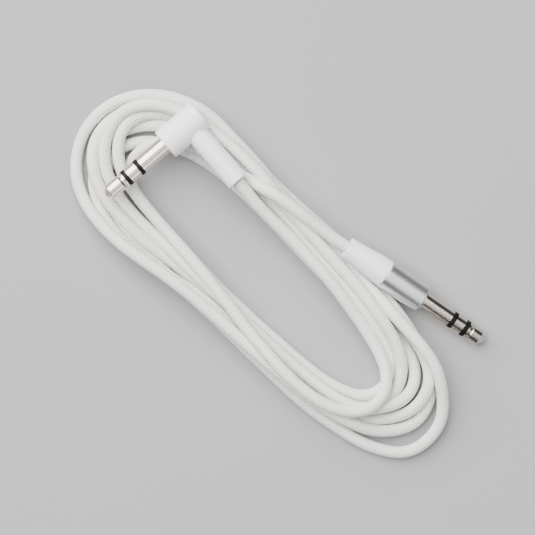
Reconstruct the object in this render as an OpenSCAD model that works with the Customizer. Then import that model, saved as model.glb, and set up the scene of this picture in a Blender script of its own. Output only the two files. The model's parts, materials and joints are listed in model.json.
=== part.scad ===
// Stereo audio patch cord: a braided cord wound into an open oval hank, with a
// straight 3.5 mm plug on one end and a right-angle 3.5 mm plug on the other.
// Millimetres, +Z up. The hank lies on the XY plane with its long side along X.

/* [Cord] */
// Outside diameter of the braided cord
cord_d = 2.4; // [1.8:0.1:2.4]
// Height of the lower layer of the wound hank
hank_low_h = 2.4; // [1.8:0.1:2.4]
// Height of the whole wound hank, under the plugs
hank_h = 4.4; // [3.6:0.1:4.4]

/* [Jack] */
// Diameter of the jack's sleeve, ring, insulators and tip collar
jack_d = 3.5; // [3.4:0.05:3.5]
// Diameter of the blunt lobe at the end of the tip contact
tip_d = 3.3; // [3.1:0.05:3.3]
// Diameter of the neck behind the lobe of the tip contact
neck_d = 2.3; // [1.8:0.1:2.6]
// Diameter of the rod that joins the tip contact to its solder tag
rod_d = 1.16; // [1.1:0.02:1.16]

/* [Straight plug] */
// Length of the white boot behind the barrel
boot_len = 9.4; // [8:0.1:11]
// Diameter of the boot where the cord enters
boot_rear_d = 4.4; // [3.6:0.1:4.6]
// Diameter of the boot where it meets the barrel
boot_front_d = 5.8; // [5.2:0.1:6]
// Length of the aluminium barrel
barrel_len = 9; // [8.6:0.1:12]
// Diameter of the aluminium barrel
barrel_d = 6; // [5.2:0.1:6]
// Angle of the plug to the long side of the hank
straight_yaw = 5.6; // [4:0.1:7]
// Angle at which the plug's nose points down
straight_pitch = 7; // [6:0.1:7]

/* [Right-angle plug] */
// Length of the white shell around the jack
shell_len = 9.4; // [9.2:0.1:11]
// Diameter of the shell
shell_d = 6.4; // [6.2:0.1:6.6]
// Length of the boot, from the shell's axis to its open end
elbow_len = 14.9; // [12:0.1:16]
// Diameter of the boot
elbow_d = 4.5; // [3.8:0.1:4.6]
// Angle of the boot to the long side of the hank
angled_yaw = -9.3; // [-12:0.1:-7]

/* [Hidden] */
$fn = 64;

// How far the jack's pieces reach along its axis, counted from the plug's face:
// [end of sleeve, end of rear insulator, end of ring, end of front insulator, end of tip]
straight_jack = [6.9, 7.9, 9.9, 10.9, 15];
angled_jack = [6.3, 7.2, 9.5, 10.4, 15.4];

// Places of the plugs
straight_rear = [9, 12.9, 5.6];    // centre of the straight boot's rear face
elbow_centre = [-30.7, 11.3, 7.7]; // where the shell's axis crosses the elbow boot's
elbow_depth = 6.2;               // from the shell's face back to that crossing

// Pieces of the jack inside the plug, as radii and as depths behind the plug's face
gap = 0.02;
rod_insulator_r = 0.9;
ring_tube_r = 1.2;
sleeve_bore_r = 1.5;
sleeve_body_r = 2.1;
sleeve_body_depth = 2;
flange_r = 2.15;
flange_t = 0.4;
collar_t = 0.35;
tip_rod_depth = 4.4;
ring_tube_depth = 3.2;
rod_insulator_depth = 3.8;
tube_insulator_depth = 2.7;
face_wall = 0.8;
tag_t = 0.25;
core_r = 0.4;
core_step = 0.85;
core_end = 1.2;                  // how far the cores show beyond the cord's end
barrel_bore_r = 2.2;
spigot_len = 1.4;
mould_start = 2.4;
mould_end = 7.5;
mould_bore_r = 1.85;
shell_bore_r = 2.35;
side_hole_d = cord_d + 0.2;        // hole in the shell for the elbow boot's cord
cord_end_start = 4.2;              // from the shell's axis to the end of the cord in the boot
side_core_step = 0.78;

// How far back the tags and the cores that join them reach: [tip, ring, ground]
straight_reach = [5.6, 5.3, 6.8];
angled_reach = [6.55, 5.7, 7.1];

white = [0.93, 0.93, 0.92];
braid = [0.90, 0.89, 0.85];
nickel = [0.82, 0.79, 0.72];
satin = [0.78, 0.79, 0.81];
black = [0.05, 0.05, 0.05];
natural = [0.85, 0.83, 0.76];
copper = [0.80, 0.50, 0.35];
red = [0.75, 0.15, 0.13];

// The hank's outline: round ends joined by straight sides, and the long hole in it
hank_left = [-31.3, -0.3];
hank_left_r = 16.2;
hank_right = [33.9, -4];
hank_right_r = 13.6;
hank_inset = 1.5;                // how much smaller the upper layer is all round
hole_left = [-29.2, 0.4];
hole_left_r = 5.2;
hole_right = [25.8, -4.6];
hole_right_r = 5.8;
hole_top = [[-29, 5.6], [-12, 6.6], [4, 5.2], [16, 3.4], [27, 1]];
hole_bottom = [[25, -10.3], [12, -10], [-4, -9.1], [-16, -7.3], [-30, -4.7]];

// The cord's loose ends, as points along its middle from each boot to the hank
straight_tail = [
    straight_rear, [6.5, 12.6, 5.8], [3.5, 12.4, 5.9], [0, 12.2, 5.9],
    [-4, 12, 5.8], [-8, 11.9, 5.4], [-12, 11.9, 4.4], [-15, 11.9, 3.2]
];
angled_start = elbow_centre + elbow_len * [cos(angled_yaw), sin(angled_yaw), 0];
angled_tail = [
    angled_start, [-14.5, 8.6, 7.4], [-12.6, 8.3, 6.6], [-10.3, 7.9, 5.4],
    [-7.6, 7.6, 4.4], [-4.6, 7.3, 3.5], [-1.5, 7, 3]
];
tail_sides = 8;

// Frames of the plugs. Inside each one +Z runs along the jack towards its tip,
// with Z = 0 at the plug's face
module on_straight_plug() {
    translate(straight_rear)
        rotate([0, 0, straight_yaw])
            rotate([0, straight_pitch, 0])
                rotate([0, 90, 0])
                    translate([0, 0, boot_len + barrel_len])
                        children();
}

module on_right_angle_plug() {
    translate(elbow_centre)
        rotate([0, 0, angled_yaw - 90])
            rotate([0, 90, 0])
                translate([0, 0, elbow_depth])
                    children();
}

// Inside the elbow's frame +Z runs along the boot towards the cord
module on_elbow() {
    translate(elbow_centre)
        rotate([0, 0, angled_yaw])
            rotate([0, 90, 0])
                children();
}

// A ring or tube about Z, from one height to another
module tube(outer_r, inner_r, low, high) {
    difference() {
        translate([0, 0, low])
            cylinder(r = outer_r, h = high - low);
        translate([0, 0, low - 1])
            cylinder(r = inner_r, h = high - low + 2);
    }
}

// Pieces of a jack. ends is the list of reaches along its axis
module tip_contact(ends) {
    start = ends[3];
    end = ends[4];
    rotate_extrude()
        polygon([
            [0, -tip_rod_depth], [rod_d / 2, -tip_rod_depth],
            [rod_d / 2, start], [jack_d / 2, start],
            [jack_d / 2, start + collar_t], [neck_d / 2, start + 0.45],
            [neck_d / 2, start + 0.7], [tip_d / 2 - 0.1, start + 0.9],
            [tip_d / 2, start + 1.1], [tip_d / 2, end - 1.1],
            [0.6, end - 0.1], [0.45, end], [0, end]
        ]);
}

module ring_contact(ends) {
    tube(jack_d / 2, rod_insulator_r + gap, ends[1], ends[2]);
    tube(ring_tube_r, rod_insulator_r + gap, -ring_tube_depth, ends[1]);
}

// The sleeve with its rear body; a visible flange only where flange_high is above zero
module sleeve_contact(ends, flange_high) {
    tube(jack_d / 2, sleeve_bore_r, 0, ends[0]);
    tube(sleeve_body_r, sleeve_bore_r, -sleeve_body_depth, 0);
    if (flange_high > 0)
        tube(flange_r, sleeve_bore_r, 0, flange_high);
}

module front_insulator(ends) {
    tube(jack_d / 2, rod_d / 2 + gap, ends[2], ends[3]);
}

module rear_insulator(ends) {
    tube(jack_d / 2, ring_tube_r + gap, ends[0], ends[1]);
}

module rod_insulator(ends) {
    tube(rod_insulator_r, rod_d / 2 + gap, -rod_insulator_depth, ends[2]);
}

module tube_insulator(ends) {
    tube(sleeve_bore_r - gap, ring_tube_r + gap, -tube_insulator_depth, ends[0]);
}

// Solder tags: a washer or stub on the contact's rear end with a flat tab behind it
module tip_tag(reach) {
    translate([-0.5, -tag_t / 2, -reach])
        cube([1, tag_t, reach - tip_rod_depth]);
}

module ring_tag(reach) {
    tube(ring_tube_r + 0.15, rod_insulator_r + gap, -ring_tube_depth - tag_t, -ring_tube_depth);
    translate([-0.5, ring_tube_r - tag_t + 0.1, -reach])
        cube([1, tag_t, reach - ring_tube_depth - tag_t]);
}

// The long tab runs back beside the cores and turns in at its end
module ground_tag(reach, foot_edge) {
    tube(sleeve_body_r - 0.1, sleeve_bore_r, -sleeve_body_depth - tag_t, -sleeve_body_depth);
    translate([-0.4, -mould_bore_r + 0.1, -reach])
        cube([0.8, tag_t, reach - sleeve_body_depth - tag_t]);
    translate([-0.4, -mould_bore_r + 0.1, -reach])
        cube([0.8, foot_edge + mould_bore_r - 0.1, tag_t]);
}

module core(low, high, offset) {
    translate([0, offset, low])
        cylinder(r = core_r, h = high - low);
}

// Straight plug
module straight_plug_barrel() {
    color(satin)
        on_straight_plug()
            difference() {
                translate([0, 0, -barrel_len])
                    rotate_extrude()
                        polygon([
                            [0, 0], [barrel_d / 2 - 0.1, 0], [barrel_d / 2, 0.1],
                            [barrel_d / 2, barrel_len - 0.2],
                            [barrel_d / 2 - 0.2, barrel_len], [0, barrel_len]
                        ]);
                translate([0, 0, -face_wall - 1])
                    cylinder(r = sleeve_body_r + gap, h = face_wall + 2);
                translate([0, 0, -barrel_len - 1])
                    cylinder(r = barrel_bore_r, h = barrel_len + 1 - face_wall);
            }
}

// The boot swells from the cord towards the barrel along a soft S and has a spigot
// that plugs into the barrel
module straight_plug_boot() {
    rear = -barrel_len - boot_len;
    swell = (boot_front_d - boot_rear_d) / 2;
    edge = 0.1;
    steps = 12;
    color(white)
        on_straight_plug()
            difference() {
                union() {
                    rotate_extrude()
                        polygon(concat(
                            [[0, rear], [boot_rear_d / 2 - edge, rear],
                             [boot_rear_d / 2, rear + edge]],
                            [for (i = [1 : steps])
                                let (t = i / steps)
                                [boot_rear_d / 2 + swell * (3 * t * t - 2 * t * t * t),
                                 rear + edge + t * (boot_len - 2 * edge - gap)]],
                            [[boot_front_d / 2 - edge, -barrel_len - gap],
                             [0, -barrel_len - gap]]));
                    translate([0, 0, -barrel_len - 0.1])
                        cylinder(r = barrel_bore_r - gap, h = spigot_len + 0.1);
                }
                translate([0, 0, rear - 1])
                    cylinder(r = cord_d / 2 + gap, h = boot_len + spigot_len + 1.2);
                translate([0, 0, -barrel_len - core_end - 0.3])
                    cylinder(r = cord_d / 2 + 0.15, h = core_end + spigot_len + 1);
            }
}

module straight_plug_inner_mould() {
    color(natural)
        on_straight_plug()
            tube(barrel_bore_r - 2 * gap, mould_bore_r, -mould_end, -mould_start);
}

module straight_plug_cord_end() {
    rear = -barrel_len - boot_len;
    color(braid)
        on_straight_plug()
            translate([0, 0, rear])
                cylinder(r = cord_d / 2, h = boot_len - core_end - 0.4);
}

straight_core_start = -barrel_len - core_end - 0.4;
module straight_plug_left_core() {
    color(red)
        on_straight_plug()
            core(straight_core_start, -straight_reach[0], 0);
}

module straight_plug_right_core() {
    color(white)
        on_straight_plug()
            core(straight_core_start, -straight_reach[1], core_step);
}

module straight_plug_ground_wire() {
    color(copper)
        on_straight_plug()
            core(straight_core_start, -straight_reach[2], -core_step);
}

module straight_plug_tip_contact() { color(nickel) on_straight_plug() tip_contact(straight_jack); }
module straight_plug_ring_contact() { color(nickel) on_straight_plug() ring_contact(straight_jack); }
module straight_plug_sleeve_contact() {
    color(nickel) on_straight_plug() sleeve_contact(straight_jack, flange_t);
}
module straight_plug_front_insulator() {
    color(black) on_straight_plug() front_insulator(straight_jack);
}
module straight_plug_rear_insulator() {
    color(black) on_straight_plug() rear_insulator(straight_jack);
}
module straight_plug_rod_insulator() { color(natural) on_straight_plug() rod_insulator(straight_jack); }
module straight_plug_tube_insulator() { color(natural) on_straight_plug() tube_insulator(straight_jack); }
module straight_plug_tip_tag() { color(nickel) on_straight_plug() tip_tag(straight_reach[0]); }
module straight_plug_ring_tag() { color(nickel) on_straight_plug() ring_tag(straight_reach[1]); }
module straight_plug_ground_tag() {
    color(nickel) on_straight_plug() ground_tag(straight_reach[2], -0.45);
}

// Right-angle plug
module right_angle_plug_shell() {
    edge = 0.8;
    steps = 8;
    color(white)
        on_right_angle_plug()
            difference() {
                rotate_extrude()
                    polygon(concat(
                        [[0, -shell_len]],
                        [for (i = [0 : steps])
                            let (a = 90 * i / steps)
                            [shell_d / 2 - edge + edge * sin(a), -shell_len + edge - edge * cos(a)]],
                        [[shell_d / 2, -0.15], [shell_d / 2 - 0.15, 0], [0, 0]]));
                translate([0, 0, -face_wall - 1])
                    cylinder(r = sleeve_body_r + gap, h = face_wall + 2);
                translate([0, 0, -shell_len + 1])
                    cylinder(r = shell_bore_r, h = shell_len - 1 - face_wall);
                translate([0, 0, -elbow_depth])
                    rotate([-90, 0, 0])
                        cylinder(d = side_hole_d, h = shell_d);
            }
}

// The boot is a round sleeve with a rounded shoulder that butts against the shell
module right_angle_plug_boot() {
    shoulder = 1.1;
    start = 0.9;
    steps = 8;
    color(white)
        difference() {
            on_elbow()
                difference() {
                    rotate_extrude()
                        polygon(concat(
                            [[0, start]],
                            [for (i = [0 : steps])
                                let (a = 90 * i / steps)
                                [elbow_d / 2 - shoulder + shoulder * sin(a),
                                 start + shoulder - shoulder * cos(a)]],
                            [[elbow_d / 2, elbow_len - 0.15], [elbow_d / 2 - 0.15, elbow_len],
                             [0, elbow_len]]));
                    translate([0, 0, start - 1])
                        cylinder(r = cord_d / 2 + gap, h = elbow_len - start + 2);
                }
            on_right_angle_plug()
                translate([0, 0, -shell_len - 1])
                    cylinder(r = shell_d / 2, h = shell_len + 2);
        }
}

module right_angle_plug_inner_mould() {
    color(natural)
        on_right_angle_plug()
            difference() {
                tube(shell_bore_r - gap, mould_bore_r, -shell_len + 1.1, -mould_start);
                translate([0, 0, -elbow_depth])
                    rotate([-90, 0, 0])
                        cylinder(d = side_hole_d, h = shell_d);
            }
}

module right_angle_plug_cord_end() {
    color(braid)
        on_elbow()
            translate([0, 0, cord_end_start])
                cylinder(r = cord_d / 2, h = elbow_len - cord_end_start);
}

// A core of the right-angle plug comes in from the side, at the given depth
module side_core(depth, inner_end) {
    translate([0, inner_end, -depth])
        rotate([-90, 0, 0])
            cylinder(r = core_r - gap, h = cord_end_start - inner_end);
}

module right_angle_plug_left_core() {
    color(red) on_right_angle_plug() side_core(elbow_depth, tag_t / 2);
}

module right_angle_plug_right_core() {
    color(white) on_right_angle_plug() side_core(elbow_depth - side_core_step, ring_tube_r + 0.1);
}

module right_angle_plug_ground_wire() {
    color(copper) on_right_angle_plug() side_core(elbow_depth + side_core_step, -0.3);
}

module right_angle_plug_tip_contact() {
    color(nickel) on_right_angle_plug() tip_contact(angled_jack);
}
module right_angle_plug_ring_contact() {
    color(nickel) on_right_angle_plug() ring_contact(angled_jack);
}
module right_angle_plug_sleeve_contact() {
    color(nickel) on_right_angle_plug() sleeve_contact(angled_jack, 0);
}
module right_angle_plug_front_insulator() {
    color(black) on_right_angle_plug() front_insulator(angled_jack);
}
module right_angle_plug_rear_insulator() {
    color(black) on_right_angle_plug() rear_insulator(angled_jack);
}
module right_angle_plug_rod_insulator() {
    color(natural) on_right_angle_plug() rod_insulator(angled_jack);
}
module right_angle_plug_tube_insulator() {
    color(natural) on_right_angle_plug() tube_insulator(angled_jack);
}
module right_angle_plug_tip_tag() { color(nickel) on_right_angle_plug() tip_tag(angled_reach[0]); }
module right_angle_plug_ring_tag() { color(nickel) on_right_angle_plug() ring_tag(angled_reach[1]); }
module right_angle_plug_ground_tag() {
    color(nickel) on_right_angle_plug() ground_tag(angled_reach[2], -0.3);
}

// The wound cord
// Outline of the hank, drawn smaller all round by inset
module hank_outline(inset) {
    left_r = hank_left_r - inset;
    right_r = hank_right_r - inset;
    difference() {
        union() {
            translate(hank_left)
                circle(r = left_r);
            translate(hank_right)
                circle(r = right_r);
            polygon([
                hank_left + [0, left_r], hank_right + [0, right_r],
                hank_right - [0, right_r], hank_left - [0, left_r]
            ]);
        }
        translate(hole_left)
            circle(r = hole_left_r);
        translate(hole_right)
            circle(r = hole_right_r);
        polygon(concat(hole_top, hole_bottom));
    }
}

module cord_hank() {
    color(braid) {
        linear_extrude(height = hank_low_h)
            hank_outline(0);
        linear_extrude(height = hank_h)
            hank_outline(hank_inset);
    }
}

// A round tube swept along a list of points, one ring of corners at each point
function unit(v) = v / norm(v);
function heading(p, i) = unit(p[min(i + 1, len(p) - 1)] - p[max(i - 1, 0)]);
function side_way(d) = unit(cross([0, 0, 1], d));
function ring_corners(p, i, start_way, end_way) =
    let (
        d = i == 0 ? start_way : (i == len(p) - 1 ? end_way : heading(p, i)),
        s = side_way(d),
        u = cross(d, s)
    )
    [for (k = [0 : tail_sides - 1])
        let (a = 360 * k / tail_sides)
        p[i] + cord_d / 2 * (cos(a) * s + sin(a) * u)];

module swept_tube(p, start_way) {
    end_way = heading(p, len(p) - 1);
    rings = len(p);
    corners = [for (i = [0 : rings - 1]) each ring_corners(p, i, start_way, end_way)];
    sides = [for (i = [0 : rings - 2], k = [0 : tail_sides - 1])
        let (a = i * tail_sides + k, b = i * tail_sides + (k + 1) % tail_sides)
        [a, a + tail_sides, b + tail_sides, b]];
    start_cap = [for (k = [0 : tail_sides - 1]) k];
    end_cap = [for (k = [tail_sides - 1 : -1 : 0]) (rings - 1) * tail_sides + k];
    polyhedron(points = corners, faces = concat(sides, [start_cap, end_cap]), convexity = 4);
}

module cord_to_straight_plug() {
    way = -[
        cos(straight_pitch) * cos(straight_yaw),
        cos(straight_pitch) * sin(straight_yaw),
        -sin(straight_pitch)
    ];
    color(braid) swept_tube(straight_tail, way);
}

module cord_to_right_angle_plug() {
    color(braid) swept_tube(angled_tail, [cos(angled_yaw), sin(angled_yaw), 0]);
}

cord_hank();
cord_to_straight_plug();
cord_to_right_angle_plug();
straight_plug_barrel();
straight_plug_boot();
straight_plug_tip_contact();
straight_plug_ring_contact();
straight_plug_sleeve_contact();
straight_plug_front_insulator();
straight_plug_rear_insulator();
straight_plug_rod_insulator();
straight_plug_tube_insulator();
straight_plug_tip_tag();
straight_plug_ring_tag();
straight_plug_ground_tag();
straight_plug_inner_mould();
straight_plug_left_core();
straight_plug_right_core();
straight_plug_ground_wire();
straight_plug_cord_end();
right_angle_plug_shell();
right_angle_plug_boot();
right_angle_plug_tip_contact();
right_angle_plug_ring_contact();
right_angle_plug_sleeve_contact();
right_angle_plug_front_insulator();
right_angle_plug_rear_insulator();
right_angle_plug_rod_insulator();
right_angle_plug_tube_insulator();
right_angle_plug_tip_tag();
right_angle_plug_ring_tag();
right_angle_plug_ground_tag();
right_angle_plug_inner_mould();
right_angle_plug_left_core();
right_angle_plug_right_core();
right_angle_plug_ground_wire();
right_angle_plug_cord_end();
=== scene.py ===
"""Looks of a stereo patch cord: braided cord in an open hank, with a plug on each end."""
import json
import math

import bpy
import numpy as np
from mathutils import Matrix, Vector

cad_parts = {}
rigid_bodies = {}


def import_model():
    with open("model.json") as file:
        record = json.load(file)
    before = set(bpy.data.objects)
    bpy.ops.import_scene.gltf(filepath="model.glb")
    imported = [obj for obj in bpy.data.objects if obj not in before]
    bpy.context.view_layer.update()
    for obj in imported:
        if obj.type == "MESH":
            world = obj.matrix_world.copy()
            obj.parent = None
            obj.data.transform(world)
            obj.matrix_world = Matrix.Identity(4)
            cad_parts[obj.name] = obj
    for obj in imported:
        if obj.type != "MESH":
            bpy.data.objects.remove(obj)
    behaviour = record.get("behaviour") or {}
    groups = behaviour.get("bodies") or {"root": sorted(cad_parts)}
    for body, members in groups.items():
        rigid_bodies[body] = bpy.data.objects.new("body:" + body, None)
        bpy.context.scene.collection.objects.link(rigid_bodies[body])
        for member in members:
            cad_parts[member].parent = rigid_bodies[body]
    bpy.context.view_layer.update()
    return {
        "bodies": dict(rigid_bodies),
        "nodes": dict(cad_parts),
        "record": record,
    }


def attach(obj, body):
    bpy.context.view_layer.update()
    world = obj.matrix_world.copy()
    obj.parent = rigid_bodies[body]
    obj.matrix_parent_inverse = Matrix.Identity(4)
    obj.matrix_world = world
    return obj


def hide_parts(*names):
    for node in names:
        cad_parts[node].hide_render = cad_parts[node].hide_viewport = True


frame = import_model()
nodes = frame["nodes"]
body = next(iter(frame["bodies"]))
MM = 0.001

# ---- camera, straight above and turned so that the hank lies along the frame's diagonal
CAMERA_HEIGHT = 500 * MM
VIEW_WIDTH = 107 * MM
MID_HEIGHT = 3 * MM
ROLL = 40
SENSOR_WIDTH = 36
VIEW_CENTRE = (-0.55 * MM, -0.4 * MM)
lens_data = bpy.data.cameras.new("camera")
lens_data.sensor_width = SENSOR_WIDTH
lens_data.lens = SENSOR_WIDTH * (CAMERA_HEIGHT - MID_HEIGHT) / VIEW_WIDTH
lens_data.clip_start = 0.01
camera = bpy.data.objects.new("camera", lens_data)
camera.location = (*VIEW_CENTRE, CAMERA_HEIGHT)
camera.rotation_euler = (0, 0, math.radians(ROLL))
bpy.context.scene.collection.objects.link(camera)
bpy.context.scene.camera = camera

# ---- the cord, in millimetres until the mesh is made
CORD_D = 2.4
CORD_R = CORD_D / 2
STEP = 1.2            # spacing of the points that are settled
SIDEWAYS = (0.5, 0.5, 1)  # how freely touching cord moves along X, Y and Z
HOLD = 0.9            # how much of a sideways movement is kept from one round to the next
FALL = 0.06           # how far the cord drops in each round
LAST_FALL = 0.01      # the same, in the last fifth of the rounds
ROUNDS = 700
PUSHES = 3            # how often touching cord is pushed apart in each round
EAGER = 1.5           # how far a push goes, against the average that a point needs
NEARBY = 1.6 * CORD_D  # points closer than this in plan are watched for touching
SKIP = 7              # points fewer places apart than this are the same stretch
PAIRS_FOR = 8         # rounds before the watched pairs are found again
HELD = 3              # points at each end that a plug holds still
AT_PLUG = 8           # points at each end that no capsule pushes, because they leave a plug
SIDE_SMOOTHING = 4    # how much the sideways movement is smoothed in each round
HEIGHT_SMOOTHING = 2  # the same, for the height
FINE_STEP = 0.3       # spacing of the rings of the finished tube
FINE_SMOOTHING = 60   # how much the finished line is smoothed
SIDES = 20
LAYER = 2.4           # how far apart two layers start before the cord settles

# Both plugs, as part.scad places them
STRAIGHT_REAR = np.array([9, 12.9, 5.6])
STRAIGHT_YAW = math.radians(5.6)
STRAIGHT_PITCH = math.radians(7)
ELBOW = np.array([-30.7, 11.3, 7.7])
ELBOW_YAW = math.radians(-9.3)
ELBOW_LEN = 14.9

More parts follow.
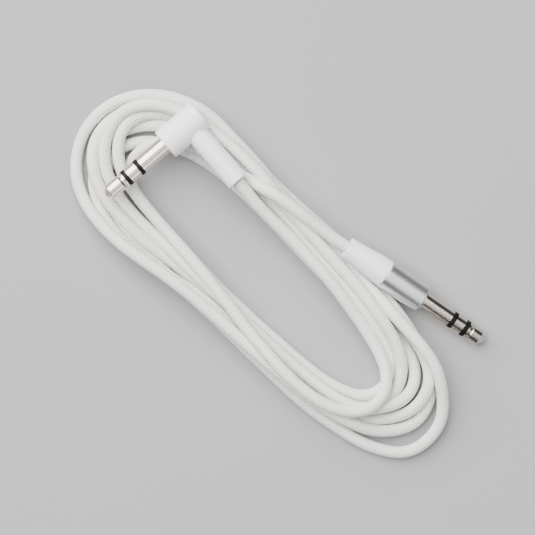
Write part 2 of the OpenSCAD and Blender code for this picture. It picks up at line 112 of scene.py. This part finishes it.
# One list for each turn of the hank: x, y, and the layer in which the cord is laid there.
# Each turn runs along the +Y side towards +X, round the right end and back.
TURNS = [
    [(-10, 7.8, 3), (-5, 7.4, 3), (0, 7, 3), (5, 6.4, 3), (10, 5.8, 3), (15, 4.9, 3),
     (20, 3.7, 3), (25, 2, 3), (30, -0.2, 3), (32, -2, 3), (33.2, -4, 3), (33.7, -6, 4),
     (33.4, -8.2, 5), (32.3, -10.3, 5), (30.2, -12.2, 5), (28, -13.2, 5), (25, -14.1, 5),
     (20, -14.5, 5), (15, -14.2, 5), (10, -13.5, 5), (5, -12.6, 5), (0, -11.4, 5),
     (-5, -10.4, 5), (-10, -9.4, 5), (-15, -8.6, 5), (-20, -7.9, 5), (-25, -7.1, 5),
     (-30, -6.1, 4), (-33, -5.3, 4), (-35.2, -4.5, 4), (-36.8, -3.4, 4), (-38.4, -1.9, 4),
     (-39.7, -0.2, 3), (-40.5, 1.5, 3), (-40.7, 3, 3), (-40.5, 4.8, 2), (-39.7, 6.6, 2),
     (-38.4, 8.3, 2), (-36.5, 9.8, 1), (-34.5, 10.9, 1)],
    [(-31, 11.9, 0), (-28, 12, 0), (-25, 11.8, 0), (-20, 11.5, 0), (-15, 11.3, 0),
     (-10, 11, 0), (-5, 10.5, 0), (0, 10, 0), (5, 9.3, 0), (10, 8.3, 0), (15, 8, 0),
     (20, 8, 0), (25, 7.8, 0), (30, 7.3, 0), (33, 6.8, 0), (36, 5.8, 0), (38.5, 4, 0),
     (40.2, 2.2, 0), (41.3, 0.5, 0), (42.2, -2, 0), (42.3, -4.5, 0), (41.7, -6.7, 0),
     (40, -9, 0), (38, -11, 1), (36, -12.1, 2), (34, -12.9, 3), (31, -13.7, 3),
     (28, -14.3, 3), (25, -14.7, 3), (20, -15, 3), (15, -14.9, 3), (10, -14.8, 3),
     (5, -14.7, 3), (0, -14.6, 3), (-5, -14.5, 3), (-10, -14.5, 3), (-15, -14.7, 3),
     (-20, -15.2, 3), (-26, -15.6, 3), (-32, -15.2, 3), (-36.5, -14.1, 2), (-40.6, -12, 2),
     (-43.4, -9.2, 2), (-45.3, -6, 1), (-46.3, -3, 1), (-46.5, 0, 1), (-46.2, 2.5, 1),
     (-45.5, 4.8, 1), (-44, 7.3, 2), (-42, 9.7, 2), (-39.5, 11.6, 2), (-36.5, 13.2, 2),
     (-33, 14.2, 2)],
    [(-30, 14.6, 2), (-26, 14.8, 2), (-20, 14.4, 2), (-15, 13.8, 2), (-10, 12.8, 2),
     (-5, 12.2, 2), (0, 11.8, 2), (5, 11.2, 2), (10, 10.7, 1), (15, 10.1, 2), (20, 9.4, 3),
     (25, 8.5, 3), (30, 7.9, 3), (35, 6.9, 3), (38.5, 5.6, 3), (41.4, 3.6, 3),
     (43.5, 1.7, 2), (45.3, -0.5, 2), (46.3, -3, 2), (46.4, -5.7, 2), (46, -8.2, 2),
     (44.8, -10.8, 1), (42.6, -12.7, 1), (40, -13.9, 1), (37.5, -14.9, 0), (35, -15.4, 0),
     (30, -15.9, 0), (25, -16, 0), (20, -16.1, 0), (15, -16, 0), (10, -15.8, 0),
     (5, -15.5, 0), (0, -15.1, 0), (-5, -14.8, 0), (-10, -14.6, 0), (-18, -14.1, 0),
     (-25, -13.2, 0), (-31, -11.6, 0), (-35.3, -9.5, 0), (-37.7, -7, 0), (-38.8, -4.8, 0),
     (-39.2, -3, 0), (-38.9, -1.2, 1), (-38, 0.5, 1), (-36.7, 2.1, 1), (-35, 3.9, 1)],
    [(-32, 5.6, 1), (-29, 6.9, 2), (-25, 7.8, 2), (-20, 8.2, 2), (-15, 8.1, 2),
     (-10, 7.8, 1), (-5, 7.3, 1), (0, 6.7, 1), (5, 6.1, 1), (10, 5.7, 1), (15, 5.5, 1),
     (20, 5.9, 1), (25, 6.5, 2), (28, 6.2, 2), (31, 5.7, 2), (33.5, 4.6, 2), (35.5, 2.9, 2),
     (37, 1, 2), (37.5, -1.2, 2), (37.3, -3.4, 3), (36.4, -5.3, 3), (35.3, -6.7, 3),
     (33.9, -8.3, 3), (31.8, -10, 3), (29, -11.2, 3), (25, -11.7, 3), (20, -12, 3),
     (15, -12, 3), (10, -11.8, 3), (5, -11.6, 3), (0, -11.2, 3), (-5, -10.9, 3),
     (-10, -10.6, 3), (-15, -10.5, 2), (-20, -10.3, 2), (-25, -10, 2), (-30, -9.3, 2),
     (-33, -8.6, 2), (-35.5, -7.5, 3), (-37.2, -6.7, 3), (-38.8, -5.6, 3), (-40.3, -4, 3),
     (-41.8, -1.8, 3), (-42.4, 0, 3), (-43, 2.5, 3), (-42.7, 5, 3), (-41.6, 7.3, 3),
     (-39.8, 9.5, 3), (-37.5, 11.3, 3), (-35, 12.6, 3)],
    [(-32, 13.6, 3), (-29, 14, 3), (-25, 13.9, 3), (-20, 13.5, 3), (-15, 12.9, 3),
     (-10, 12, 3), (-5, 11.3, 3), (0, 10.6, 3), (5, 9.8, 3), (10, 9, 3), (15, 8.3, 3),
     (20, 7.4, 3), (25, 5.9, 3), (28, 4.9, 3), (30, 3.9, 3), (32.2, 2.4, 2), (33.8, 0.4, 2),
     (34.7, -1.5, 2), (35.1, -3.3, 2), (34.9, -5, 2), (34.2, -7, 1), (32.7, -9.2, 0),
     (30.2, -11.2, 0), (27, -12.5, 0), (22, -13, 0), (15, -12.9, 0), (10, -12.7, 0),
     (5, -12.5, 0), (0, -12.2, 0), (-5, -11.9, 0), (-10, -11.7, 1), (-15, -11.6, 2),
     (-20, -11.8, 3), (-25, -11.9, 3), (-30, -11.4, 3), (-33.4, -10.9, 3), (-36, -10, 2),
     (-37.8, -9.1, 2), (-39.3, -8.1, 2), (-41.3, -6.3, 1), (-42.7, -4.3, 1),
     (-43.5, -2.6, 1), (-43.9, 0, 1), (-43.7, 2, 1), (-43.2, 4, 1), (-42.2, 6.5, 1),
     (-40.5, 9, 0), (-38, 11.3, 0), (-35, 13, 0)],
    [(-31, 14.2, 0), (-25, 14.4, 0), (-20, 14.2, 0), (-15, 13.8, 0), (-10, 13.2, 0),
     (-5, 12.9, 0), (0, 12.7, 0), (5, 12.7, 0), (10, 12.4, 0), (15, 11.3, 0), (20, 10.1, 0),
     (25, 9.2, 0), (30, 8.1, 1), (33, 7, 1), (35.5, 5.9, 1), (37.3, 5, 1), (38.6, 3.6, 1),
     (39.7, 1.8, 1), (40.2, 0, 1), (40.3, -2, 1), (39.9, -4.2, 1), (39, -6, 1),
     (37.3, -8, 1), (35.3, -9.6, 2), (33.5, -10.8, 2), (31, -12.3, 2), (28, -13.3, 2),
     (24, -14.1, 1), (18, -14.4, 1), (10, -14.2, 1), (3, -13.7, 1), (-5, -13.5, 1),
     (-10, -13.9, 1), (-15, -14.4, 1), (-20, -14.9, 1), (-25, -15, 1), (-30, -14.3, 1),
     (-32.5, -13.2, 1), (-35, -12.1, 1), (-36.7, -11.1, 1), (-38.7, -9, 0), (-40.2, -6.5, 0),
     (-41, -3.5, 0), (-41.2, -0.5, 0), (-40.3, 2.5, 0), (-38.5, 5, 0), (-36, 7.2, 0),
     (-34, 8.5, 0)],
    [(-31, 9.8, 0), (-27, 11, 1), (-22, 11.7, 1), (-15, 11.2, 2), (-10, 10.2, 2),
     (-5, 9.7, 2), (0, 8.9, 2), (5, 8, 2), (10, 7.2, 2), (15, 6.4, 2), (20, 5.6, 2),
     (25, 4.3, 2), (28, 3.1, 2), (30.3, 1.4, 2), (32, -0.5, 2), (33, -2.6, 2),
     (33.3, -4.6, 1), (32.9, -6.5, 1), (31.8, -8.1, 1), (30.2, -9.3, 1), (28.4, -10.1, 1),
     (25, -11.1, 1), (20, -11.5, 1), (15, -11.4, 1), (10, -11.1, 1), (5, -10.9, 1),
     (0, -10.5, 1), (-5, -10.2, 1), (-10, -9.4, 1), (-15, -8.7, 1), (-20, -8, 1),
     (-25, -7.2, 1), (-30, -6.3, 1), (-32.6, -5.2, 1), (-34.5, -3.4, 1), (-35.3, -1.2, 1),
     (-35.2, 0.7, 1), (-34.7, 2.3, 1), (-33.9, 4, 2), (-33, 5.4, 2), (-31, 7.2, 2),
     (-28, 8.9, 2), (-24, 10.3, 2), (-20, 11.4, 3), (-15, 11.9, 4), (-10, 12, 4),
     (-5, 12, 4), (0, 12.2, 4)],
]


def direction(yaw, pitch):
    """Unit vector at that yaw from +X, pointing down by pitch."""
    return np.array([math.cos(pitch) * math.cos(yaw), math.cos(pitch) * math.sin(yaw),
                     -math.sin(pitch)])


straight_way = direction(STRAIGHT_YAW, STRAIGHT_PITCH)
elbow_way = direction(ELBOW_YAW, 0)
jack_way = direction(ELBOW_YAW - math.pi / 2, 0)
angled_exit = ELBOW + ELBOW_LEN * elbow_way


def spline(points, step):
    """A smooth curve through the points, with a new point about every step."""
    points = np.array(points, float)
    padded = np.vstack([2 * points[0] - points[1], points, 2 * points[-1] - points[-2]])
    out = []
    for a, b, c, d in zip(padded[:-3], padded[1:-2], padded[2:-1], padded[3:]):
        for t in np.linspace(0, 1, 12, endpoint=False):
            out.append(0.5 * (2 * b + (c - a) * t + (2 * a - 5 * b + 4 * c - d) * t * t
                              + (3 * b - a - 3 * c + d) * t ** 3))
    out.append(points[-1])
    return evenly(np.array(out), step)


def evenly(points, step):
    """The same line with its points evenly spaced."""
    gaps = np.linalg.norm(np.diff(points, axis=0), axis=1)
    along = np.concatenate([[0], np.cumsum(gaps)])
    count = int(round(along[-1] / step)) + 1
    wanted = np.linspace(0, along[-1], count)
    return np.stack([np.interp(wanted, along, points[:, k]) for k in range(3)], axis=1)


def laid_route():
    """The whole cord, from the right-angle plug to the straight one, before it settles."""
    route = [angled_exit, angled_exit + 1.5 * elbow_way,
             angled_exit + 3 * elbow_way + [0, 0, -0.2]]
    for turn in TURNS:
        route += [(x, y, CORD_R + layer * LAYER) for x, y, layer in turn]
    route += [STRAIGHT_REAR - 4.5 * straight_way + [0, -0.1, 0.1],
              STRAIGHT_REAR - 1.5 * straight_way, STRAIGHT_REAR]
    return spline(route, STEP)


# What lies on the hank, as capsules: one end, the other end, and the radius
CLEAR = 0.3           # kept round each capsule, because the last smoothing takes some of it
CAPSULES = [
    (ELBOW + 2 * elbow_way, angled_exit, 2.25),
    (ELBOW - 1.2 * jack_way, ELBOW + 4.6 * jack_way, 3.2),
    (ELBOW + 6 * jack_way, ELBOW + 20 * jack_way, 1.75),
    (STRAIGHT_REAR, STRAIGHT_REAR + 3 * straight_way, 2.2),
    (STRAIGHT_REAR + 4 * straight_way, STRAIGHT_REAR + 6 * straight_way, 2.5),
    (STRAIGHT_REAR + 7.5 * straight_way, STRAIGHT_REAR + 16 * straight_way, 2.95),
]


def keep_under(points, free):
    """Pushes the cord down from any capsule that it touches from below, or out beside it."""
    for start, end, radius in CAPSULES:
        way = end - start
        t = np.clip(((points - start) @ way) / (way @ way), 0, 1)
        near = start + t[:, None] * way
        aside = points[:, :2] - near[:, :2]
        across = np.maximum(np.linalg.norm(aside, axis=1), 1e-6)
        reach = radius + CLEAR + CORD_R
        under = free & (across < reach)
        ceiling = near[:, 2] - np.sqrt(np.maximum(reach ** 2 - across ** 2, 0))
        lowered = np.minimum(points[:, 2], np.maximum(ceiling, CORD_R))
        points[under, 2] = lowered[under]
        room = np.sqrt(np.maximum(reach ** 2 - (near[:, 2] - points[:, 2]) ** 2, 0))
        squeezed = under & (ceiling < CORD_R) & (across < room)
        outward = aside * (room / across)[:, None]
        points[squeezed, :2] = (near[:, :2] + outward)[squeezed]


def close_pairs(points):
    """Pairs of points on different stretches of the cord that may touch."""
    count = len(points)
    flat = points[:, :2]
    squared = ((flat[:, None, :] - flat[None, :, :]) ** 2).sum(-1)
    first, second = np.nonzero(np.triu(squared < NEARBY ** 2, k=SKIP))
    return first, second


def push_apart(points, pairs, weight):
    """Moves each touching pair a cord's diameter apart."""
    first, second = pairs
    gap = points[second] - points[first]
    distance = np.maximum(np.linalg.norm(gap, axis=1), 1e-6)
    overlap = np.maximum(CORD_D - distance, 0)
    move = gap / distance[:, None] * (0.5 * overlap)[:, None] * weight
    total = np.zeros_like(points)
    hits = np.zeros(len(points))
    np.add.at(total, second, move)
    np.add.at(total, first, -move)
    touching = (overlap > 0).astype(float)
    np.add.at(hits, second, touching)
    np.add.at(hits, first, touching)
    return total / np.maximum(hits, 1)[:, None] * EAGER


def smooth(points, rounds):
    """Takes small kinks out of a line, and leaves its ends where they are."""
    for turn in range(rounds):
        points[1:-1] += 0.25 * (points[:-2] + points[2:] - 2 * points[1:-1])
    return points


def settle(route, rounds):
    """Lets the cord down onto the floor and onto itself, and keeps it where it was laid."""
    points = route.copy()
    laid = route[:, :2].copy()
    free = np.ones(len(points), bool)
    free[:HELD] = False
    free[-HELD:] = False
    under_plugs = free.copy()
    under_plugs[:AT_PLUG] = False
    under_plugs[-AT_PLUG:] = False
    for turn in range(rounds):
        if turn % PAIRS_FOR == 0:
            pairs = close_pairs(points)
        last_part = turn > 0.8 * rounds
        fall = LAST_FALL if last_part else FALL
        before = points.copy()
        aside = smooth(points[:, :2] - laid, SIDE_SMOOTHING)
        points[:, :2] = laid + HOLD * aside
        smooth(points[:, 2], HEIGHT_SMOOTHING)
        points[:, 2] -= fall
        for again in range(PUSHES):
            points += push_apart(points, pairs, SIDEWAYS)
            points[:, 2] = np.maximum(points[:, 2], CORD_R)
        keep_under(points, under_plugs)
        points[~free] = before[~free]
    return points


settled = settle(laid_route(), ROUNDS)
centre = smooth(evenly(settled, FINE_STEP), FINE_SMOOTHING)

# The braid: rows of slanted stitches round the cord, and the length of one stitch in mm
ROWS = 12
STITCH = 0.62


def tube_mesh(name, line):
    """A tube round the line, with a map of turns round it and millimetres along it."""
    along = np.concatenate([[0], np.cumsum(np.linalg.norm(np.diff(line, axis=0), axis=1))])
    way = np.gradient(line, axis=0)
    way /= np.linalg.norm(way, axis=1)[:, None]
    side = np.cross([0, 0, 1], way)
    side /= np.linalg.norm(side, axis=1)[:, None]
    up = np.cross(way, side)
    turn = np.arange(SIDES) / SIDES
    angle = 2 * math.pi * turn
    ring = (np.cos(angle)[None, :, None] * side[:, None, :]
            + np.sin(angle)[None, :, None] * up[:, None, :])
    corners = (line[:, None, :] + CORD_R * ring).reshape(-1, 3) * MM
    rings = len(line)
    low = np.arange(rings - 1)[:, None] * SIDES
    this = low + np.arange(SIDES)[None, :]
    following = low + (np.arange(SIDES)[None, :] + 1) % SIDES
    quads = np.stack([this, following, following + SIDES, this + SIDES], axis=-1)
    quads = quads.reshape(-1, 4)
    mesh = bpy.data.meshes.new(name)
    caps = [tuple(range(SIDES))[::-1], tuple((rings - 1) * SIDES + k for k in range(SIDES))]
    mesh.from_pydata(corners.tolist(), [], quads.tolist() + caps)
    layer = mesh.uv_layers.new(name="braid")
    start = np.broadcast_to(turn[None, :], (rings - 1, SIDES))
    end = start + 1 / SIDES
    near = np.broadcast_to(along[:-1, None], (rings - 1, SIDES))
    far = np.broadcast_to(along[1:, None], (rings - 1, SIDES))
    loops = np.stack([np.stack([start, near], -1), np.stack([end, near], -1),
                      np.stack([end, far], -1), np.stack([start, far], -1)], axis=2)
    flat = np.zeros((len(mesh.loops), 2), np.float32)
    flat[:loops.size // 2] = loops.reshape(-1, 2)
    layer.data.foreach_set("uv", flat.reshape(-1))
    mesh.polygons.foreach_set("use_smooth", [True] * len(mesh.polygons))
    piece = bpy.data.objects.new(name, mesh)
    bpy.context.scene.collection.objects.link(piece)
    return piece


cord = tube_mesh("braided_cord", centre)
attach(cord, body)
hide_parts("cord_hank", "cord_to_straight_plug", "cord_to_right_angle_plug")


# ---- materials
class Recipe:
    """A new material and short ways to add nodes to it."""

    def __init__(self, name):
        self.material = bpy.data.materials.new(name)
        self.material.use_nodes = True
        self.tree = self.material.node_tree
        self.shader = self.tree.nodes["Principled BSDF"]

    def node(self, kind, settings=None, **inputs):
        """A new node, with its settings and inputs."""
        made = self.tree.nodes.new(kind)
        for key, value in (settings or {}).items():
            setattr(made, key, value)
        for key, value in inputs.items():
            self.feed(made, key, value)
        return made

    def feed(self, made, key, value):
        """Links or sets one input, given by name or as _ and its number."""
        socket = made.inputs[int(key[1:])] if key[1:].isdigit() else made.inputs[key]
        if isinstance(value, bpy.types.NodeSocket):
            self.tree.links.new(value, socket)
        else:
            socket.default_value = value

    def math(self, operation, first, second=0.0):
        """The output of a math node."""
        made = self.node("ShaderNodeMath", {"operation": operation}, _0=first, _1=second)
        return made.outputs[0]

    def place(self):
        """Position on the piece itself."""
        return self.node("ShaderNodeTexCoord").outputs["Object"]

    def noise(self, scale, detail=3):
        """Noise over the piece; scale is in features to the metre."""
        made = self.node("ShaderNodeTexNoise", Vector=self.place(), Scale=scale, Detail=detail)
        return made.outputs["Fac"]

    def blend(self, factor, first, second):
        """A colour between two, by the factor."""
        made = self.node("ShaderNodeMix", {"data_type": "RGBA"}, Factor=factor)
        made.inputs[6].default_value = (*first, 1)
        made.inputs[7].default_value = (*second, 1)
        return made.outputs[2]

    def between(self, factor, low, high):
        """The factor spread from low to high."""
        made = self.node("ShaderNodeMapRange", Value=factor)
        made.inputs["To Min"].default_value = low
        made.inputs["To Max"].default_value = high
        return made.outputs[0]

    def bump(self, height, distance, strength):
        """Relief on the surface; distance is in metres."""
        made = self.node("ShaderNodeBump", Height=height, Distance=distance,
                         Strength=strength)
        self.feed(self.shader, "Normal", made.outputs[0])

    def set(self, **values):
        """Feeds the shader's inputs, with _ for a space in a name."""
        for key, value in values.items():
            self.feed(self.shader, key.replace("_", " "), value)


def braid_material():
    """Rows of stitches that slant one way and then the other, with fine fibres on top, and
    painted shade: the colour is darker in the grooves between stitches and rows.
    """
    made = Recipe("braided_cord_look")
    where = made.node("ShaderNodeUVMap", {"uv_map": "braid"}).outputs[0]
    parts = made.node("ShaderNodeSeparateXYZ", Vector=where)
    rows = made.math("MULTIPLY", parts.outputs[0], ROWS)
    slant = made.math("PINGPONG", rows, 1.0)
    along = made.math("DIVIDE", parts.outputs[1], STITCH)
    stitch = made.math("SINE", made.math("MULTIPLY", made.math("ADD", along, slant),
                                         2 * math.pi))
    groove = made.math("ABSOLUTE", made.math("SINE", made.math("MULTIPLY", rows, math.pi)))
    height = made.math("ADD", made.math("MULTIPLY", stitch, 0.5),
                       made.math("MULTIPLY", groove, 0.5))
    shade = made.between(height, 0.0, 1.0)
    shade.node.inputs["From Min"].default_value = -0.5
    shade.node.inputs["From Max"].default_value = 0.6
    fibres = made.noise(9000, 2)
    soft = made.noise(60, 2)
    # Painted shade: the grooves between stitches and rows are coloured darker and the stitch
    # tops lighter, with a little soft random tone mixed in.
    painted_shade_and_tone = made.math("ADD", made.math("MULTIPLY", shade, 0.8),
                    made.math("MULTIPLY", soft, 0.2))
    # Painted shade in the weave: dark (0.52, 0.50, 0.45) in the grooves, near-white (0.95,
    # 0.94, 0.91) on the stitch tops.
    made.set(Base_Color=made.blend(painted_shade_and_tone, (0.52, 0.50, 0.45), (0.95, 0.94, 0.91)),
             Roughness=made.between(fibres, 0.6, 0.85))
    made.shader.inputs["Sheen Weight"].default_value = 0.05
    made.shader.inputs["Sheen Roughness"].default_value = 0.5
    made.bump(made.math("ADD", height, made.math("MULTIPLY", fibres, 0.3)), 0.08 * MM, 0.9)
    return made.material


def plastic_material(name, dark, light, roughness, grain=0.006, shine=0.5):
    """Moulded plastic: faint mottling, and a very fine grain."""
    made = Recipe(name)
    grains = made.noise(5000, 2)
    cloud = made.noise(220, 3)
    made.set(Base_Color=made.blend(cloud, dark, light),
             Roughness=made.between(grains, roughness - 0.06, roughness + 0.06))
    made.bump(grains, grain * MM, 0.6)
    made.shader.inputs["Specular IOR Level"].default_value = shine
    return made.material


def turned_metal(name, dark, light, roughness, ring_scale):
    """Turned and plated metal: fine cloudiness in the plating, and faint tool marks."""
    made = Recipe(name)
    cloud = made.noise(400, 3)
    marks = made.noise(ring_scale, 2)
    made.set(Base_Color=made.blend(cloud, dark, light), Metallic=1.0,
             Roughness=made.between(marks, roughness - 0.015, roughness + 0.015))
    made.bump(marks, 0.0002 * MM, 0.1)
    return made.material


LOOKS = {
    "white_plastic": plastic_material("white_plastic_look", (0.88, 0.88, 0.89),
                                      (0.93, 0.93, 0.94), 0.38),
    "black_insulator": plastic_material("black_insulator_look", (0.003, 0.003, 0.003),
                                        (0.008, 0.008, 0.008), 0.45, shine=0.12),
    "inner_plastic": plastic_material("inner_plastic_look", (0.68, 0.65, 0.56),
                                      (0.78, 0.75, 0.66), 0.5),
    "red_core": plastic_material("red_core_look", (0.55, 0.05, 0.04), (0.7, 0.09, 0.07), 0.4),
    "white_core": plastic_material("white_core_look", (0.78, 0.77, 0.73),
                                   (0.86, 0.85, 0.81), 0.4),
    "braided_cord": plastic_material("cord_end_look", (0.8, 0.78, 0.74),
                                     (0.93, 0.92, 0.9), 0.8, 0.05),
    "plated_contact": turned_metal("plated_contact_look", (0.62, 0.55, 0.49),
                                   (0.75, 0.68, 0.62), 0.22, 3000),
    "satin_aluminium": turned_metal("satin_aluminium_look", (0.70, 0.71, 0.72),
                                    (0.82, 0.82, 0.85), 0.36, 4000),
    "bare_copper": turned_metal("bare_copper_look", (0.6, 0.3, 0.18),
                                (0.78, 0.45, 0.3), 0.3, 4000),
}

slot_of = {part["node"]: part["material_slot"] for part in frame["record"]["subparts"]}
for name, node in nodes.items():
    node.data.materials.clear()
    node.data.materials.append(LOOKS[slot_of[name]])
cord.data.materials.append(braid_material())


# ---- floor and light
def floor_material():
    """Plain pale grey, a little uneven."""
    made = Recipe("floor_look")
    cloud = made.noise(8, 3)
    made.set(Base_Color=made.blend(cloud, (0.32, 0.32, 0.32), (0.34, 0.34, 0.34)),
             Roughness=0.9)
    return made.material


bpy.ops.mesh.primitive_plane_add(size=1.6, location=(0, 0, -0.02 * MM))
floor = bpy.context.object
floor.name = "floor"
floor.data.materials.append(floor_material())


def softbox(name, place, aim, size, power):
    """A soft rectangular light at a place, turned to the point that it aims at."""
    data = bpy.data.lights.new(name, "AREA")
    data.shape = "RECTANGLE"
    data.size = size[0]
    data.size_y = size[1]
    data.energy = power
    lamp = bpy.data.objects.new(name, data)
    lamp.location = place
    lamp.rotation_euler = (Vector(aim) - Vector(place)).to_track_quat("-Z", "Y").to_euler()
    bpy.context.scene.collection.objects.link(lamp)
    return lamp


softbox("key", (-0.5, 0.1, 0.58), (0, 0, 0), (0.9, 1.0), 27)
softbox("fill", (0.62, -0.05, 0.42), (0, 0, 0), (0.8, 0.6), 3.6)
softbox("overhead", (0.15, 0, 0.62), (0, 0, 0), (0.9, 0.12), 1.3)
world = bpy.data.worlds.new("world")
world.use_nodes = True
world.node_tree.nodes["Background"].inputs["Color"].default_value = (1, 1, 1, 1)
world.node_tree.nodes["Background"].inputs["Strength"].default_value = 0.04
bpy.context.scene.world = world
